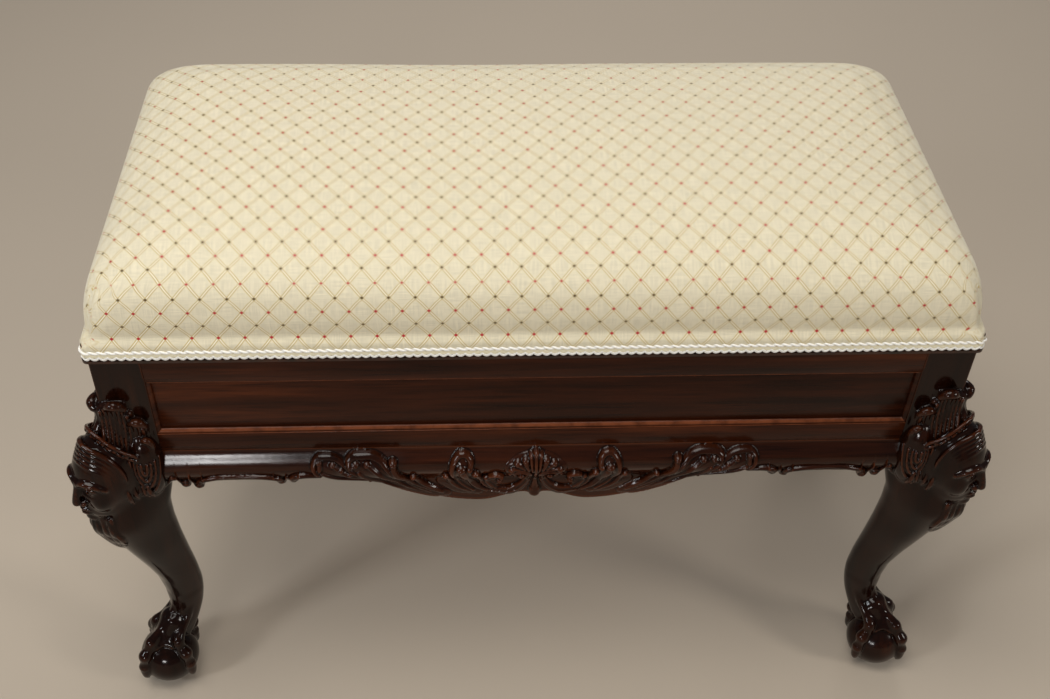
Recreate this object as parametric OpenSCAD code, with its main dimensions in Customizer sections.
// Duet piano stool: a mahogany box stool on four carved cabriole legs, with a padded lid that lifts.
// The origin is on the floor under the middle of the stool, +X to the right, +Y to the back, +Z up.

/* [Overall] */
// Width of the lid along its lower edge
lid_w = 820; // [740:1:940]
// Depth of the lid along its lower edge, front to back
lid_d = 400; // [340:1:430]
// Height of the case's top edge above the floor
case_top = 485; // [450:1:520]
// Height of the cushion's crown above the lid frame
pad_h = 89; // [70:1:105]

/* [Case] */
// How far the lid's edge stands out past the case, all round
lid_overhang = 4.4; // [4:0.1:6]
// Side of the square corner posts at the tops of the legs
post = 46; // [42:1:54]
// Thickness of the case's rails
wall = 22; // [20:1:26]
// Height of the upper rails
top_rail_h = 28; // [24:1:34]
// Height of the sunk panels that show between the rails
panel_h = 68; // [56:1:76]
// Height of the lower rails
bottom_rail_h = 23; // [21:1:28]
// Thickness of the sunk panels
panel_t = 8; // [6:0.5:9]
// How far the panels lie behind the face of the rails
panel_set = 5; // [4:0.5:6]
// Depth of the grooves that hold the panels
groove_d = 5; // [4:0.5:7]
// Radius of the quarter round bead planted round each panel
bead_r = 4; // [3:0.5:5]

/* [Aprons] */
// Depth of the aprons at their lowest lobes
apron_h = 79; // [66:1:90]
// Thickness of the aprons behind the case face
apron_t = 22; // [18:1:24]
// How far the aprons' rounded moulding stands out past the case
apron_bulge = 8; // [5:0.5:10]
// Height of that rounded moulding
apron_bulge_h = 46; // [36:1:56]
// Radius of the small scrolls on the aprons' lower edge
scroll_r = 6; // [5:0.5:7]

/* [Joinery] */
// Thickness of the tenons
tenon_t = 8; // [6:0.5:9]
// Length of the tenons
tenon_l = 16; // [12:1:18]
// Shoulder above and below a tenon
tenon_shoulder = 4; // [3:0.5:5]
// Gap round glued tenons and let in pieces
glue_gap = 0.1; // [0.05:0.05:0.2]
// Gap round pieces that float or lie loose
loose_gap = 0.3; // [0.2:0.1:0.5]

/* [Bottom] */
// Thickness of the bottom board
board_t = 7; // [5:0.5:9]
// Side of the square ledger strips under the bottom board
ledger = 12; // [10:0.5:14]
// Length of the triangular glue blocks behind the aprons
block_l = 50; // [40:1:60]
// Height of the glue blocks
block_h = 20; // [16:1:24]

/* [Legs] */
// Radius of the ball in each foot
ball_r = 32; // [28:0.5:34]
// Depth of the flat on which each ball stands
ball_flat = 0.6; // [0.5:0.1:1]
// Reach of the claws from the middle of the ball
claw_reach = 43; // [39:0.5:46]
// Reach of the mask in front of the corner of the post, without its nose
mask_reach = 41; // [36:0.5:44]
// Half width of the mask's head
head_half_w = 34; // [31:0.5:37]

/* [Lid] */
// Thickness of the lid frame
frame_t = 18; // [16:0.5:22]
// Width of the lid frame's rails
frame_rail_w = 60; // [50:1:70]
// Height of the polished lip under the braid
lip_h = 3; // [2.5:0.1:4]
// How far the frame's edge lies inside the lip
lip_set = 1.4; // [1.2:0.1:1.8]
// Radius of the lid's corners in plan
lid_corner_r = 6; // [5:0.5:8]
// Thickness of the lining board under the lid
lining_t = 4; // [3:0.5:5]
// Width of the rebate that holds the lining board
lining_rebate = 14; // [10:1:18]
// Width of the cross rail
cross_rail_w = 50; // [40:1:60]

/* [Upholstery] */
// Width of the webbing
web_w = 50; // [45:1:55]
// Thickness of the webbing
web_t = 1.2; // [1:0.1:1.5]
// Thickness of the hessian
hessian_t = 0.6; // [0.5:0.1:1]
// Thickness of the cover with its wadding
cover_t = 1; // [0.8:0.1:1.2]
// Height of the braid
braid_h = 12; // [10:0.5:13]
// Thickness of the braid
braid_t = 1.5; // [1.2:0.1:2]

/* [Hinges] */
// Length of each hinge
hinge_l = 64; // [50:1:76]
// Width of each hinge leaf from the pin
leaf_w = 19; // [17:0.5:20]
// Thickness of the hinge leaves
leaf_t = 1.8; // [1.5:0.1:2]
// Outer radius of the knuckles
knuckle_r = 2.6; // [2.4:0.1:2.7]
// Radius of the hinge pins
pin_r = 1.3; // [1.1:0.05:1.4]
// Running gap round the hinge pins
pin_gap = 0.05; // [0.03:0.01:0.08]
// Distance of the pins behind the back of the case
pin_set = 1.3; // [1:0.1:1.5]

/* [Screws] */
// Radius of the screws' shanks
screw_r = 1.5; // [1.2:0.1:1.6]
// Radius of the screws' countersunk heads
screw_head_r = 2.9; // [2.6:0.1:3.1]
// Length of the screws
screw_l = 13; // [11:0.5:14]

/* [Hidden] */

mahogany = "#3a1a12";
pine = "#b89468";
brass = "#b8923a";
steel = "#8a8d90";
cloth = "#e6dcb8";

// One overrun serves every cut that runs out of a face
over = 1;
round_fn = 48;

case_w = lid_w - 2 * lid_overhang;
case_d = lid_d - 2 * lid_overhang;
half_w = case_w / 2;
half_d = case_d / 2;
long_span = case_w - 2 * post;
short_span = case_d - 2 * post;
apron_top = case_top - top_rail_h - panel_h - bottom_rail_h;
panel_z = apron_top + bottom_rail_h;
board_z = apron_top + ledger;
frame_top = case_top + frame_t;
pin_y = half_d + pin_set;
knuckle_n = 5;
knuckle_gap = 0.2;
knuckle_pitch = hinge_l / knuckle_n;
leaf_gap = 0.1;
hinge_x = lid_w * 0.3;
hinge_screw_n = 3;

// Placing of a piece that is drawn for the front: x along the face, y inward from the case face
module on_front() translate([0, -half_d, 0]) children();
module on_back() rotate([0, 0, 180]) on_front() children();
module on_left() rotate([0, 0, -90]) translate([0, -half_w, 0]) children();
module on_right() rotate([0, 0, 90]) translate([0, -half_w, 0]) children();

// A block from low to high corner
module block(low, high) translate(low) cube(high - low);

// A countersunk screw, head up at z = 0, made larger by gap for its hole
module screw(gap = 0) {
    head_h = screw_head_r - screw_r;
    translate([0, 0, -screw_l - gap]) cylinder(h = screw_l + gap, r = screw_r + gap, $fn = round_fn);
    translate([0, 0, -head_h])
        cylinder(h = head_h, r1 = screw_r + gap, r2 = screw_head_r + gap, $fn = round_fn);
}

// Middle of a ring of points
function middle(ring) = [for (k = [0 : 2]) [for (p = ring) p[k]] * [for (p = ring) 1]] / len(ring);
// A closed solid through rings of points that all have the same count, capped at both ends
module loft(rings) {
    n = len(rings[0]);
    last = len(rings) - 1;
    points = concat([for (ring = rings) each ring], [middle(rings[0]), middle(rings[last])]);
    sides = [for (i = [0 : last - 1], j = [0 : n - 1])
        let (k = (j + 1) % n)
        each [[i * n + j, (i + 1) * n + k, i * n + k], [i * n + j, (i + 1) * n + j, (i + 1) * n + k]]];
    caps = [for (j = [0 : n - 1])
        let (k = (j + 1) % n)
        each [[j, k, len(points) - 2], [last * n + k, last * n + j, len(points) - 1]]];
    polyhedron(points, concat(sides, caps), convexity = 8);
}

// Legs
// Heights are shares of case_top and sizes across are shares of the post's side

leg_sides = 32;
leg_level_shares = [0, 0.008, 0.02, 0.036, 0.055, 0.075, 0.094, 0.11, 0.125, 0.14, 0.156, 0.172, 0.19,
    0.21, 0.235, 0.27, 0.31, 0.35, 0.39, 0.43, 0.47, 0.51, 0.545, 0.575, 0.6, 0.62, 0.64, 0.655, 0.67,
    0.685, 0.7, 0.715, 0.73, 0.745, 0.76, 0.78, 0.8, 0.82, 0.845, 0.87, 0.89, 0.905, 0.916];
// Middle of each section along the outward diagonal, from the corner of the post
spine_shares = [[0, 0.02], [0.12, 0.02], [0.15, -0.25], [0.18, -0.62], [0.21, -0.78], [0.235, -0.81],
    [0.27, -0.79], [0.33, -0.73], [0.39, -0.58], [0.47, -0.35], [0.53, -0.18], [0.59, -0.1],
    [0.64, -0.35], [0.68, -0.7071], [1, -0.7071]];
// Reach outward and inward of the plain shaft from that middle
outer_shares = [[0.12, 0.3], [0.15, 0.5], [0.18, 0.52], [0.21, 0.45], [0.235, 0.42], [0.27, 0.43],
    [0.33, 0.47], [0.39, 0.54], [0.47, 0.63], [0.53, 0.72], [0.59, 0.8], [0.64, 1], [0.68, 0.9], [0.76, 0.7],
    [1, 0.6]];
inner_shares = [[0.12, 0.3], [0.15, 0.4], [0.18, 0.48], [0.21, 0.44], [0.235, 0.41], [0.27, 0.42],
    [0.33, 0.46], [0.39, 0.53], [0.47, 0.62], [0.53, 0.7], [0.59, 0.8], [0.64, 0.66], [0.68, 0.69],
    [1, 0.69]];
side_shares = [[0.12, 0.3], [0.15, 0.42], [0.18, 0.48], [0.21, 0.44], [0.235, 0.42], [0.27, 0.43],
    [0.33, 0.48], [0.39, 0.55], [0.47, 0.64], [0.53, 0.72], [0.59, 0.78], [0.64, 0.76], [0.68, 0.69],
    [1, 0.69]];
// Reach of a claw, as a share of claw_reach: talon, knuckles and the bone up to the ankle
claw_shares = [[0, 0.8], [0.03, 0.93], [0.06, 0.9], [0.085, 1], [0.105, 0.93], [0.125, 0.97], [0.145, 0.9],
    [0.165, 0.72], [0.19, 0.5], [0.21, 0]];
// Reach of the web between the claws, above the bare part of the ball
web_shares = [[0.1, 0], [0.105, 0.77], [0.125, 0.72], [0.15, 0.62], [0.175, 0.52], [0.2, 0]];
// Reach of the mask, as a share of mask_reach, from the beard's tip up to the crest of the headdress
mask_shares = [[0.55, 0.3], [0.59, 0.72], [0.62, 0.84], [0.645, 0.93], [0.66, 0.88], [0.675, 1], [0.69, 1],
    [0.705, 0.9], [0.72, 0.84], [0.735, 0.86], [0.75, 0.84], [0.77, 0.64], [0.8, 0.4], [0.83, 0.2],
    [0.87, 0.06], [0.895, 0.12], [0.91, 0.12], [0.92, 0]];
// Half width of the mask, as a share of head_half_w
mask_width_shares = [[0.55, 0.3], [0.59, 0.62], [0.64, 0.86], [0.69, 1], [0.74, 1], [0.78, 0.92], [0.82, 0.8],
    [0.87, 0.6], [0.92, 0.4]];

claw_spread = 20;
nose_spread = 9;
nose_share = 0.11;
// Half of a square's diagonal, as a share of its side
diagonal_share = sqrt(0.5);

// Smallest difference between two directions, in degrees
function turn(a, b) = abs((a - b + 540) % 360 - 180);
function bump(a, centre, spread) = exp(-pow(turn(a, centre) / spread, 2));
// Far side, in direction a, of an ellipse whose middle lies shift ahead
function ellipse_reach(a, shift, rx, ry) =
    let (p = cos(a) * shift / (rx * rx), q = pow(cos(a) / rx, 2) + pow(sin(a) / ry, 2))
    let (d = p * p - q * (pow(shift / rx, 2) - 1))
    d < 0 ? 0 : (p + sqrt(d)) / q;
function shaft_reach(a, s) =
    let (rx = lookup(s, turn(a, 0) < 90 ? outer_shares : inner_shares))
    post * ellipse_reach(a, 0, rx, lookup(s, side_shares));
function ball_reach(s) =
    let (dz = s * case_top - ball_r + ball_flat)
    abs(dz) < ball_r ? sqrt(ball_r * ball_r - dz * dz) : 0;
function claw(a) = max([for (c = [0 : 90 : 270]) exp(-pow(turn(a, c) / claw_spread, 4))]);
function foot_reach(a, s) =
    s > 0.2 ? 0 :
    let (shift = post * (lookup(0, spine_shares) - lookup(s, spine_shares)) * cos(a))
    shift + max(ball_reach(s), ball_r * lookup(s, web_shares), claw_reach * lookup(s, claw_shares) * claw(a));
function mask_reach_at(a, s) =
    s < 0.55 ? 0 :
    let (front = mask_reach * lookup(s, mask_shares), back = post * 0.45,
        nose = nose_share * post * bump(a, 0, nose_spread) * exp(-pow((s - 0.685) / 0.02, 2)))
    nose + ellipse_reach(a, (front - back) / 2 - post * lookup(s, spine_shares), (front + back) / 2,
        head_half_w * lookup(s, mask_width_shares));
// The leg stays clear of the aprons, on the two sides where they meet the post
function room(a, s) =
    let (mid = post * (1 + lookup(s, spine_shares) * diagonal_share) - loose_gap)
    s < 0.58 ? case_top : min([for (d = [135, 225]) cos(a - d) > 0.1 ? mid / cos(a - d) : case_top]);
function leg_reach(a, s) = min(room(a, s), max(shaft_reach(a, s), foot_reach(a, s), mask_reach_at(a, s)));
// Directions lie closer together on the outer side, where the mask is
function leg_direction(j, s) =
    let (t = 360 * j / leg_sides)
    t - (s > 0.5 ? 22 : 0) * sin(t);
function leg_ring(s) = [for (j = [0 : leg_sides - 1])
    let (a = leg_direction(j, s), r = leg_reach(a, s), u = post * lookup(s, spine_shares) + r * cos(a))
    [(u + r * sin(a)) * diagonal_share, (r * sin(a) - u) * diagonal_share, s * case_top]];

// Housings in a post for what meets it on one face, drawn with x along the face from the corner
module post_housings() {
    inner = post - tenon_l - glue_gap;
    y0 = (wall - tenon_t) / 2 - glue_gap;
    for (z = [[case_top - top_rail_h, case_top], [apron_top, panel_z]])
        block([inner, y0, z[0] + tenon_shoulder - glue_gap],
            [post + over, y0 + tenon_t + 2 * glue_gap, z[1] - tenon_shoulder + glue_gap]);
    block([post - groove_d, panel_set, panel_z - groove_d],
        [post + over, panel_set + panel_t + glue_gap, panel_z + panel_h + groove_d]);
}

// A leg with its post, for the front right corner, with the post's outer corner at x = y = 0
module leg_shape() {
    difference() {
        union() {
            block([-post, 0, apron_top - post], [0, post, case_top]);
            loft([for (s = leg_level_shares) leg_ring(s)]);
        }
        mirror([1, 0, 0]) post_housings();
        rotate([0, 0, 90]) post_housings();
    }
}
module leg_front_right() color(mahogany) translate([half_w, -half_d, 0]) leg_shape();
module leg_front_left() mirror([1, 0, 0]) leg_front_right();
module leg_back_right() mirror([0, 1, 0]) leg_front_right();
module leg_back_left() mirror([1, 0, 0]) leg_back_right();

// Case sides

// A rail with a tenon at each end and a groove for the panel along one edge
module rail(span, z0, h, groove_up) {
    y0 = (wall - tenon_t) / 2;
    groove_z = groove_up ? z0 + h - groove_d : z0;
    difference() {
        union() {
            block([-span / 2, 0, z0], [span / 2, wall, z0 + h]);
            block([-span / 2 - tenon_l, y0, z0 + tenon_shoulder],
                [span / 2 + tenon_l, y0 + tenon_t, z0 + h - tenon_shoulder]);
        }
        block([-span / 2 - tenon_l - over, panel_set, groove_up ? groove_z : groove_z - over],
            [span / 2 + tenon_l + over, panel_set + panel_t + glue_gap,
                groove_z + groove_d + (groove_up ? over : 0)]);
    }
}
module top_rail(span) color(mahogany) rail(span, case_top - top_rail_h, top_rail_h, false);
module bottom_rail(span) color(mahogany) rail(span, apron_top, bottom_rail_h, true);
module top_rail_front() on_front() top_rail(long_span);
module top_rail_back() difference() {
    on_back() top_rail(long_span);
    color(mahogany) hinge_housings(-1);
}
module top_rail_left() on_left() top_rail(short_span);
module top_rail_right() on_right() top_rail(short_span);
module bottom_rail_front() on_front() bottom_rail(long_span);
module bottom_rail_back() on_back() bottom_rail(long_span);
module bottom_rail_left() on_left() bottom_rail(short_span);
module bottom_rail_right() on_right() bottom_rail(short_span);

module panel(span) color(mahogany) {
    hold = groove_d - loose_gap;
    block([-span / 2 - hold, panel_set, panel_z - hold],
        [span / 2 + hold, panel_set + panel_t, panel_z + panel_h + hold]);
}
module panel_front() on_front() panel(long_span);
module panel_back() on_back() panel(long_span);
module panel_left() on_left() panel(short_span);
module panel_right() on_right() panel(short_span);

// A quarter round strip along x, lying in the corner between an edge below it and the panel behind it
module bead_strip(length) difference() {
    rotate([90, 0, 90]) translate([0, 0, -length / 2]) linear_extrude(length) intersection() {
        circle(r = bead_r, $fn = round_fn);
        translate([-bead_r, 0]) square(bead_r);
    }
    for (e = [-1, 1]) translate([e * length / 2, 0, 0]) rotate([0, -e * 45, 0])
        translate([e > 0 ? 0 : -2 * bead_r, -bead_r - over, -2 * bead_r])
            cube([2 * bead_r, bead_r + 2 * over, 4 * bead_r]);
}
// Four mitred strips round the opening of a panel
module bead(span) color(mahogany) translate([0, panel_set, panel_z + panel_h / 2]) {
    for (e = [0, 180]) rotate([0, e, 0]) translate([0, 0, -panel_h / 2]) bead_strip(span);
    for (e = [90, 270]) rotate([0, e, 0]) translate([0, 0, -span / 2]) bead_strip(panel_h);
}
module bead_front() on_front() bead(long_span);
module bead_back() on_back() bead(long_span);
module bead_left() on_left() bead(short_span);
module bead_right() on_right() bead(short_span);

// Aprons

// Turning points of the lower edge from the middle outward: share of the half span, share of apron_h
long_edge_shares = [[0, 0.92], [0.028, 0.86], [0.15, 1], [0.63, 0.45], [0.695, 0.62], [0.803, 0.46],
    [0.93, 0.6], [0.972, 0.47], [1, 0.62]];
short_edge_shares = [[0, 0.92], [0.07, 0.86], [0.25, 1], [0.6, 0.45], [0.7, 0.62], [0.87, 0.46], [1, 0.62]];
// Small scrolls along that edge: share of the half span, scroll radii beside that place, share of apron_h
long_scroll_shares = [[0.695, -1.1, 0.52], [0.695, 1.1, 0.6], [0.93, -1.1, 0.6], [0.93, 1.1, 0.56]];
short_scroll_shares = [[0.7, -1.1, 0.52], [0.7, 1.1, 0.6]];
edge_steps = 6;
bulge_steps = 8;

function half_edge(span, shares) = concat(
    [for (i = [1 : len(shares) - 1], k = [0 : edge_steps - 1])
        let (a = shares[i - 1], b = shares[i], t = k / edge_steps, ease = (1 - cos(180 * t)) / 2)
        [span / 2 * (a[0] + (b[0] - a[0]) * t), -apron_h * (a[1] + (b[1] - a[1]) * ease)]],
    [[span / 2, -apron_h * shares[len(shares) - 1][1]]]);
module apron_outline(span, edge_shares, scroll_shares) {
    edge = half_edge(span, edge_shares);
    left = [for (i = [len(edge) - 1 : -1 : 1]) [-edge[i][0], edge[i][1]]];
    polygon(concat(left, edge, [[span / 2, 0], [-span / 2, 0]]));
    for (c = scroll_shares, e = [-1, 1])
        translate([e * (c[0] * span / 2 + c[1] * scroll_r), -c[2] * apron_h])
            circle(r = scroll_r, $fn = round_fn);
}
module apron(span, edge_shares, scroll_shares) color(mahogany) translate([0, 0, apron_top]) intersection() {
    rotate([90, 0, 0]) translate([0, 0, -apron_t])
        linear_extrude(apron_t + apron_bulge + over) apron_outline(span, edge_shares, scroll_shares);
    rotate([90, 0, 90]) translate([0, 0, -span / 2]) linear_extrude(span)
        polygon(concat([[apron_t, 0], [0, 0]],
            [for (k = [1 : bulge_steps - 1])
                let (a = 180 * k / bulge_steps)
                [-apron_bulge * sin(a), -apron_bulge_h * (1 - cos(a)) / 2]],
            [[0, -apron_bulge_h], [0, -apron_h - scroll_r], [apron_t, -apron_h - scroll_r]]));
}
module long_apron() apron(long_span, long_edge_shares, long_scroll_shares);
module short_apron() apron(short_span, short_edge_shares, short_scroll_shares);
module apron_front() on_front() long_apron();
module apron_back() on_back() long_apron();
module apron_left() on_left() short_apron();
module apron_right() on_right() short_apron();

// Bottom of the case

module ledger_strip(span) color(pine)
    block([-span / 2, wall, apron_top], [span / 2, wall + ledger, board_z]);
module ledger_front() difference() {
    on_front() ledger_strip(long_span);
    color(pine) board_screw_places() screw(glue_gap);
}
module ledger_back() difference() {
    on_back() ledger_strip(long_span);
    color(pine) board_screw_places() screw(glue_gap);
}
module ledger_left() on_left() ledger_strip(short_span);
module ledger_right() on_right() ledger_strip(short_span);

// Places of the screws along a ledger strip, counted along its span
board_screw_shares = [-0.4, 0, 0.4];
module board_screw_places() {
    for (x = board_screw_shares) {
        on_front() translate([x * long_span, wall + ledger / 2, board_z + board_t]) children();
        on_back() translate([x * long_span, wall + ledger / 2, board_z + board_t]) children();
    }
}
module bottom_board() color(pine) difference() {
    block([-half_w + wall + loose_gap, -half_d + wall + loose_gap, board_z],
        [half_w - wall - loose_gap, half_d - wall - loose_gap, board_z + board_t]);
    for (sx = [-1, 1], sy = [-1, 1]) translate([sx * half_w, sy * half_d, 0])
        block([-post - loose_gap, -post - loose_gap, board_z - over],
            [post + loose_gap, post + loose_gap, board_z + board_t + over]);
    board_screw_places() screw(glue_gap);
}
module board_screws() color(brass) board_screw_places() screw();

// Places of the glue blocks along the aprons, counted along their spans
long_block_shares = [-0.3, 0, 0.3];
module glue_block() color(pine) translate([-block_l / 2, apron_t, apron_top]) rotate([90, 0, 90])
    linear_extrude(block_l) polygon([[0, 0], [0, -block_h], [wall + ledger - apron_t, 0]]);
module glue_blocks() {
    for (x = long_block_shares) {
        on_front() translate([x * long_span, 0, 0]) glue_block();
        on_back() translate([x * long_span, 0, 0]) glue_block();
    }
    on_left() glue_block();
    on_right() glue_block();
}

// Hinges, with side -1 for the leaf on the case and 1 for the leaf on the lid

module at_hinge(e) translate([e * hinge_x, pin_y, case_top]) children();
module hinge_screw_places(side) for (k = [0 : hinge_screw_n - 1])
    translate([hinge_l * ((k + 0.5) / hinge_screw_n - 0.5), -(leaf_w + knuckle_r) / 2, side * leaf_gap])
        mirror([0, 0, side > 0 ? 1 : 0]) children();
module hinge_leaf(side) color(brass) difference() {
    z0 = side > 0 ? leaf_gap : -leaf_gap - leaf_t;
    union() {
        block([-hinge_l / 2, -leaf_w, z0], [hinge_l / 2, -knuckle_r - loose_gap, z0 + leaf_t]);
        for (k = [side > 0 ? 1 : 0 : 2 : knuckle_n - 1])
            translate([-hinge_l / 2 + k * knuckle_pitch + knuckle_gap / 2, 0, 0]) {
                rotate([0, 90, 0]) cylinder(h = knuckle_pitch - knuckle_gap, r = knuckle_r, $fn = round_fn);
                block([0, -knuckle_r - loose_gap - over, z0], [knuckle_pitch - knuckle_gap, 0, z0 + leaf_t]);
            }
    }
    rotate([0, 90, 0]) cylinder(h = hinge_l + 2 * over, r = pin_r + pin_gap, center = true, $fn = round_fn);
    hinge_screw_places(side) screw(glue_gap);
}
module hinge_pin() color(steel) rotate([0, 90, 0])
    cylinder(h = hinge_l, r = pin_r, center = true, $fn = round_fn);
// What the hinges need cut from the rail that carries their leaves
module hinge_housings(side) for (e = [-1, 1]) at_hinge(e) {
    deep = leaf_gap + leaf_t + glue_gap;
    knuckle_room = side > 0 ? lip_h : knuckle_r + loose_gap;
    half_l = hinge_l / 2 + glue_gap;
    mirror([0, 0, side > 0 ? 0 : 1]) {
        block([-half_l, -leaf_w - glue_gap, -over], [half_l, 0, deep]);
        block([-half_l, -knuckle_r - loose_gap, -over], [half_l, lid_overhang, knuckle_room]);
    }
    hinge_screw_places(side) screw(glue_gap);
}
module hinge_left_case_leaf() at_hinge(-1) hinge_leaf(-1);
module hinge_right_case_leaf() at_hinge(1) hinge_leaf(-1);
module hinge_left_lid_leaf() at_hinge(-1) hinge_leaf(1);
module hinge_right_lid_leaf() at_hinge(1) hinge_leaf(1);
module hinge_left_pin() at_hinge(-1) hinge_pin();
module hinge_right_pin() at_hinge(1) hinge_pin();
module hinge_case_screws() color(brass) for (e = [-1, 1]) at_hinge(e) hinge_screw_places(-1) screw();
module hinge_lid_screws() color(brass) for (e = [-1, 1]) at_hinge(e) hinge_screw_places(1) screw();

// Lid frame

lid_tenon_z = case_top + lining_t + (frame_t - lining_t - tenon_t) / 2;
opening_w = lid_w - 2 * frame_rail_w;
opening_d = lid_d - 2 * frame_rail_w;

// A slab with rounded corners that lies inset inside the lid's lower edge
module lid_slab(inset, z0, z1) {
    w = lid_w - 2 * inset;
    d = lid_d - 2 * inset;
    r = lid_corner_r;
    translate([0, 0, z0]) linear_extrude(z1 - z0) {
        square([w - 2 * r, d], center = true);
        square([w, d - 2 * r], center = true);
        for (sx = [-1, 1], sy = [-1, 1])
            translate([sx * (w / 2 - r), sy * (d / 2 - r)]) circle(r = r, $fn = round_fn);
    }
}
module lid_blank() {
    lid_slab(0, case_top, case_top + lip_h);
    lid_slab(lip_set, case_top + lip_h, frame_top);
}
// Tenons on the end rails, and with gap > 0 their mortises; e is -1 on the left and 1 on the right
module end_rail_tenons(e, gap) {
    x = [opening_w / 2 + tenon_shoulder, lid_w / 2 - tenon_shoulder - lip_set];
    y = opening_d / 2 + tenon_l + gap;
    block([(e > 0 ? x[0] : -x[1]) - gap, -y, lid_tenon_z - gap],
        [(e > 0 ? x[1] : -x[0]) + gap, y, lid_tenon_z + tenon_t + gap]);
}
module cross_rail_tenons(gap) {
    x = cross_rail_w / 2 - tenon_shoulder + gap;
    y = opening_d / 2 + tenon_l + gap;
    block([-x, -y, lid_tenon_z - gap], [x, y, lid_tenon_z + tenon_t + gap]);
}
module lining_cut() {
    x = opening_w / 2 + lining_rebate;
    y = opening_d / 2 + lining_rebate;
    block([-x, -y, case_top - over], [x, y, case_top + lining_t + glue_gap]);
    lining_screw_places() screw(glue_gap);
}
// Screws of the lining board: shares of its width on the long edges, of its depth on the short edges
long_screw_shares = [-0.42, -0.15, 0.15, 0.42];
short_screw_shares = [-0.2, 0.2];
module lining_screw_places() {
    x = opening_w / 2 + lining_rebate / 2;
    y = opening_d / 2 + lining_rebate / 2;
    for (e = [-1, 1]) {
        for (k = long_screw_shares) translate([k * 2 * x, e * y, case_top]) mirror([0, 0, 1]) children();
        for (k = short_screw_shares) translate([e * x, k * 2 * y, case_top]) mirror([0, 0, 1]) children();
    }
}
// The long rails of the lid, with e -1 for the front and 1 for the back
module lid_long_rail(e) difference() {
    intersection() {
        lid_blank();
        block([-lid_w, e > 0 ? opening_d / 2 : -lid_d, case_top - over],
            [lid_w, e > 0 ? lid_d : -opening_d / 2, frame_top + over]);
    }
    for (side = [-1, 1]) end_rail_tenons(side, glue_gap);
    cross_rail_tenons(glue_gap);
    lining_cut();
}
module lid_rail_front() color(pine) lid_long_rail(-1);
module lid_rail_back() color(pine) difference() {
    lid_long_rail(1);
    hinge_housings(1);
}
module lid_end_rail(e) color(pine) difference() {
    union() {
        intersection() {
            lid_blank();
            block([e > 0 ? opening_w / 2 : -lid_w, -opening_d / 2, case_top - over],
                [e > 0 ? lid_w : -opening_w / 2, opening_d / 2, frame_top + over]);
        }
        end_rail_tenons(e, 0);
    }
    lining_cut();
}
module lid_rail_left() lid_end_rail(-1);
module lid_rail_right() lid_end_rail(1);
module lid_cross_rail() color(pine) {
    block([-cross_rail_w / 2, -opening_d / 2, case_top + lining_t + glue_gap],
        [cross_rail_w / 2, opening_d / 2, frame_top]);
    cross_rail_tenons(0);
}
module lid_lining() color(pine) difference() {
    x = opening_w / 2 + lining_rebate - glue_gap;
    y = opening_d / 2 + lining_rebate - glue_gap;
    block([-x, -y, case_top], [x, y, case_top + lining_t]);
    lining_screw_places() screw(glue_gap);
}
module lining_screws() color(brass) lining_screw_places() screw();

// Upholstery

webs_across = 7;
webs_along = 3;
web_hold = frame_rail_w * 0.7;
pad_base = 2 * web_t + hessian_t;
module webbing_across() color(cloth) {
    pitch = opening_w / webs_across;
    for (k = [0 : webs_across - 1]) translate([(k + 0.5) * pitch - opening_w / 2, 0, frame_top])
        block([-web_w / 2, -opening_d / 2 - web_hold, 0], [web_w / 2, opening_d / 2 + web_hold, web_t]);
}
module webbing_along() color(cloth) {
    pitch = opening_d / webs_along;
    for (k = [0 : webs_along - 1]) translate([0, (k + 0.5) * pitch - opening_d / 2, frame_top + web_t])
        block([-opening_w / 2 - web_hold, -web_w / 2, 0], [opening_w / 2 + web_hold, web_w / 2, web_t]);
}
module hessian() color(cloth) translate([0, 0, frame_top + 2 * web_t])
    block([-opening_w / 2 - web_hold, -opening_d / 2 - web_hold, 0],
        [opening_w / 2 + web_hold, opening_d / 2 + web_hold, hessian_t]);

// The cushion's outside from the crown to its foot: how far inside the lid's edge, and the corner's
// radius in plan, as shares of half the lid's depth, and height as a share of pad_h
cushion_shares = [[0.98, 1, 0.015], [0.8, 0.987, 0.16], [0.62, 0.965, 0.22], [0.45, 0.926, 0.22],
    [0.29, 0.867, 0.21], [0.15, 0.79, 0.19], [0.077, 0.67, 0.17], [0.034, 0.51, 0.15], [0.014, 0.26, 0.12],
    [0.018, 0.1, 0.08]];
corner_steps = 6;
long_steps = 8;
short_steps = 4;
cover_inset = lip_set - glue_gap - cover_t;

function cushion_profile() = concat(
    [for (c = cushion_shares) [c[0] * lid_d / 2, c[1] * pad_h, c[2] * lid_d / 2]],
    [[cover_inset, 0, lid_corner_r + cover_t], [cover_inset, lip_h - frame_t + glue_gap, lid_corner_r + cover_t]]);
// The same line moved t inward, square to itself
function inner_profile(p, t) = [for (i = [0 : len(p) - 1])
    let (a = p[max(i - 1, 0)], b = p[min(i + 1, len(p) - 1)], d = [b[0] - a[0], b[1] - a[1]],
        n = [-d[1], d[0]] / norm(d))
    i < len(p) - 1 ? [p[i][0] + t * n[0], p[i][1] + t * n[1], max(p[i][2] - t * n[0], lid_corner_r / 2)]
        : [p[i][0] + t, p[i][1], p[i][2] - t]];
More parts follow.
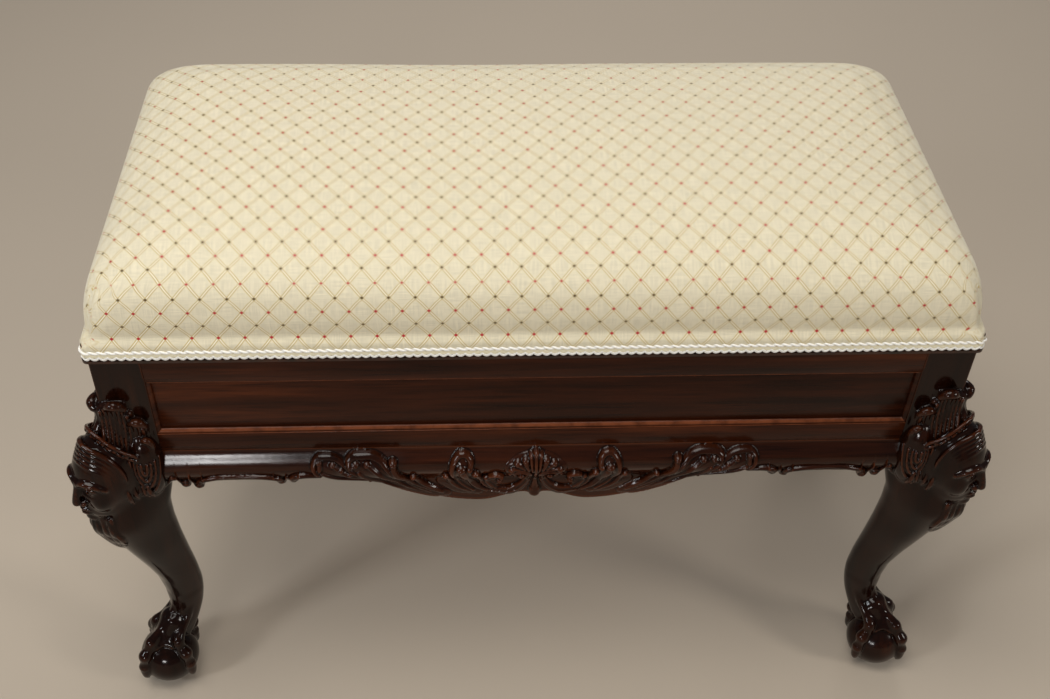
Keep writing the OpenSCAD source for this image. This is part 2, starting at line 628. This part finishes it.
// Points of a rounded rectangle, counterclockwise, at the height of a point of the profile
function cushion_ring(c) =
    let (a = lid_w / 2 - c[0], b = lid_d / 2 - c[0], r = min(c[2], b), z = frame_top + c[1],
        middles = [[a - r, b - r], [r - a, b - r], [r - a, r - b], [a - r, r - b]])
    [for (q = [0 : 3])
        let (m = middles[q], next = middles[(q + 1) % 4], steps = q % 2 == 0 ? long_steps : short_steps)
        each concat(
            [for (k = [0 : corner_steps])
                let (t = 90 * (q + k / corner_steps))
                [m[0] + r * cos(t), m[1] + r * sin(t), z]],
            [for (k = [1 : steps - 1])
                let (t = 90 * (q + 1), s = m + (next - m) * k / steps)
                [s[0] + r * cos(t), s[1] + r * sin(t), z]])];
module cover() color(cloth) {
    outside = cushion_profile();
    inside = inner_profile(outside, cover_t);
    n = len(outside);
    loft(concat([for (c = inside) cushion_ring(c)], [for (i = [n - 1 : -1 : 0]) cushion_ring(outside[i])]));
}
module stuffing() color(cloth) {
    p = inner_profile(cushion_profile(), cover_t + loose_gap);
    n = len(cushion_shares);
    foot = [p[n - 1][0], pad_base, p[n - 1][2]];
    loft([for (i = [n : -1 : 0]) cushion_ring(i == n ? foot : p[i])]);
}
module braid() color(cloth) difference() {
    z = case_top + lip_h + glue_gap;
    lid_slab(cover_inset - glue_gap - braid_t, z, z + braid_h);
    lid_slab(cover_inset - glue_gap, z - over, z + braid_h + over);
}

leg_front_left();
leg_front_right();
leg_back_left();
leg_back_right();
top_rail_front();
top_rail_back();
top_rail_left();
top_rail_right();
bottom_rail_front();
bottom_rail_back();
bottom_rail_left();
bottom_rail_right();
panel_front();
panel_back();
panel_left();
panel_right();
bead_front();
bead_back();
bead_left();
bead_right();
apron_front();
apron_back();
apron_left();
apron_right();
bottom_board();
ledger_front();
ledger_back();
ledger_left();
ledger_right();
board_screws();
glue_blocks();
hinge_left_case_leaf();
hinge_right_case_leaf();
hinge_case_screws();
hinge_left_pin();
hinge_right_pin();
hinge_left_lid_leaf();
hinge_right_lid_leaf();
hinge_lid_screws();
lid_rail_front();
lid_rail_back();
lid_rail_left();
lid_rail_right();
lid_cross_rail();
lid_lining();
lining_screws();
webbing_across();
webbing_along();
hessian();
stuffing();
cover();
braid();
